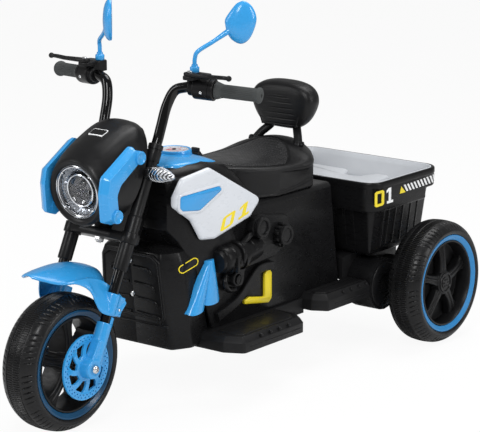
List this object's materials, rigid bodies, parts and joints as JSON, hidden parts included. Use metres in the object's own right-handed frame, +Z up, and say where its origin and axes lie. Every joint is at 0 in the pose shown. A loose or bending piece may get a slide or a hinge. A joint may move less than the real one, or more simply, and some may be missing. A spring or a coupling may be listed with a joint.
{
  "type": "kids ride-on motorcycle trike",
  "caption": "Battery ride-on motorcycle for a small child, with high handlebars, round headlamp, wide foot boards, backrest and an open cargo tub between two rear wheels.",
  "frame": {"origin": "centre of the bounding box's base, on the floor between the wheels", "axes": "+Z up, the bike faces -Y, its own left side is +X"},
  "size_m": [0.486, 1.087, 0.7207],
  "materials": {
    "blue_plastic": "satin moulded polypropylene, bright blue",
    "black_plastic": "satin moulded polypropylene, black",
    "pale_grey_plastic": "satin moulded polypropylene, pale grey",
    "panel_grey_white": "glossy moulded polypropylene, light grey-white",
    "yellow_plastic": "satin moulded polypropylene, yellow",
    "tyre": "dark moulded tyre with a ribbed tread",
    "black_enamel_tube": "glossy black enamelled steel tube",
    "zinc_steel": "bright zinc-plated steel",
    "clear_lens": "clear moulded lens plastic",
    "lamp_silver": "bright metallised plastic",
    "mirror_glass": "silvered plastic mirror",
    "grip_rubber": "soft black rubber",
    "seat_vinyl": "black moulded seat skin"
  },
  "bodies": {
    "chassis": {"backrest": "seat_vinyl", "backrest_hoop": "black_enamel_tube", "battery": "pale_grey_plastic", "body_shell_left": "black_plastic", "body_shell_right": "black_plastic", "dash_dial": "pale_grey_plastic", "drive_gearbox_left": "black_plastic", "drive_gearbox_right": "black_plastic", "foot_guard_left": "yellow_plastic", "foot_guard_right": "yellow_plastic", "footboard_deck": "black_plastic", "leg_shield_left": "blue_plastic", "leg_shield_right": "blue_plastic", "panel_inset_left": "blue_plastic", "panel_inset_right": "blue_plastic", "rear_axle": "zinc_steel", "seat": "seat_vinyl", "side_panel_left": "panel_grey_white", "side_panel_right": "panel_grey_white", "tank_cover": "blue_plastic", "tub_liner": "pale_grey_plastic", "tub_outer": "black_plastic"},
    "steering": {"fork_frame": "black_plastic", "steering_stem": "zinc_steel", "fork_bar_left": "black_enamel_tube", "fork_bar_right": "black_enamel_tube", "fork_foot_left": "blue_plastic", "fork_foot_right": "blue_plastic", "front_axle": "zinc_steel", "front_fender": "blue_plastic", "headlight_cowl": "black_plastic", "headlight_bowl": "lamp_silver", "headlight_lens": "clear_lens", "cowl_bracket_left": "blue_plastic", "cowl_bracket_right": "blue_plastic", "turn_signal_left": "clear_lens", "turn_signal_right": "clear_lens", "grip_left": "grip_rubber", "grip_right": "grip_rubber", "switch_housing_left": "black_plastic", "switch_housing_right": "black_plastic"},
    "start_key": {"start_key": "black_plastic"},
    "accelerator_pedal": {"accelerator_pedal": "black_plastic"},
    "brake_lever_left": {"brake_lever_left": "black_plastic"},
    "brake_lever_right": {"brake_lever_right": "black_plastic"},
    "mirror_left": {"mirror_left": "blue_plastic", "mirror_glass_left": "mirror_glass"},
    "mirror_right": {"mirror_right": "blue_plastic", "mirror_glass_right": "mirror_glass"},
    "horn_button": {"horn_button": "blue_plastic"},
    "music_button": {"music_button": "yellow_plastic"},
    "front_wheel": {"front_wheel_tyre": "tyre", "front_wheel_rim": "blue_plastic", "front_wheel_hub": "black_plastic"},
    "rear_left_wheel": {"rear_left_wheel_tyre": "tyre", "rear_left_wheel_rim": "blue_plastic", "rear_left_wheel_hub": "black_plastic"},
    "rear_right_wheel": {"rear_right_wheel_tyre": "tyre", "rear_right_wheel_rim": "blue_plastic", "rear_right_wheel_hub": "black_plastic"}
  },
  "joints": [
    {"name": "steering", "type": "hinge", "parent": "chassis", "child": "steering", "pos_m": [0, -0.4155, 0.12], "axis": [0, 0.4384, 0.8988], "range_deg": [-25, 25]},
    {"name": "front_wheel_spin", "type": "hinge", "parent": "steering", "child": "front_wheel", "pos_m": [0, -0.4235, 0.12], "axis": [1, 0, 0], "continuous": true},
    {"name": "rear_left_wheel_spin", "type": "hinge", "parent": "chassis", "child": "rear_left_wheel", "pos_m": [0.206, 0.4235, 0.12], "axis": [1, 0, 0], "continuous": true},
    {"name": "rear_right_wheel_spin", "type": "hinge", "parent": "chassis", "child": "rear_right_wheel", "pos_m": [-0.206, 0.4235, 0.12], "axis": [1, 0, 0], "continuous": true},
    {"name": "brake_lever_left_pull", "type": "hinge", "parent": "steering", "child": "brake_lever_left", "pos_m": [0.1203, -0.2182, 0.6004], "axis": [0, 0, 1], "range_deg": [0, 12], "stiffness_Nm_per_rad": 0.4, "springref_deg": -8.59},
    {"name": "brake_lever_right_pull", "type": "hinge", "parent": "steering", "child": "brake_lever_right", "pos_m": [-0.1203, -0.2182, 0.6004], "axis": [0, 0, -1], "range_deg": [0, 12], "stiffness_Nm_per_rad": 0.4, "springref_deg": -8.59},
    {"name": "mirror_left_swivel", "type": "hinge", "parent": "steering", "child": "mirror_left", "pos_m": [0.1083, -0.1902, 0.6014], "axis": [0, 0, 1], "range_deg": [-60, 60]},
    {"name": "mirror_right_swivel", "type": "hinge", "parent": "steering", "child": "mirror_right", "pos_m": [-0.1083, -0.1902, 0.6014], "axis": [0, 0, 1], "range_deg": [-60, 60]},
    {"name": "horn_button_press", "type": "slide", "parent": "steering", "child": "horn_button", "axis": [0, -0.9063, 0.4226], "range_m": [0, 0.002], "stiffness_N_per_m": 300, "springref_m": -0.001},
    {"name": "music_button_press", "type": "slide", "parent": "steering", "child": "music_button", "axis": [0, -0.9063, 0.4226], "range_m": [0, 0.002], "stiffness_N_per_m": 300, "springref_m": -0.001},
    {"name": "start_key_turn", "type": "hinge", "parent": "chassis", "child": "start_key", "pos_m": [0, -0.056, 0.4225], "axis": [0, 0, -1], "range_deg": [0, 60]},
    {"name": "accelerator_pedal_press", "type": "hinge", "parent": "chassis", "child": "accelerator_pedal", "pos_m": [-0.138, -0.03, 0.137], "axis": [1, 0, 0], "range_deg": [0, 12], "stiffness_Nm_per_rad": 2, "springref_deg": -6.88}
  ]
}
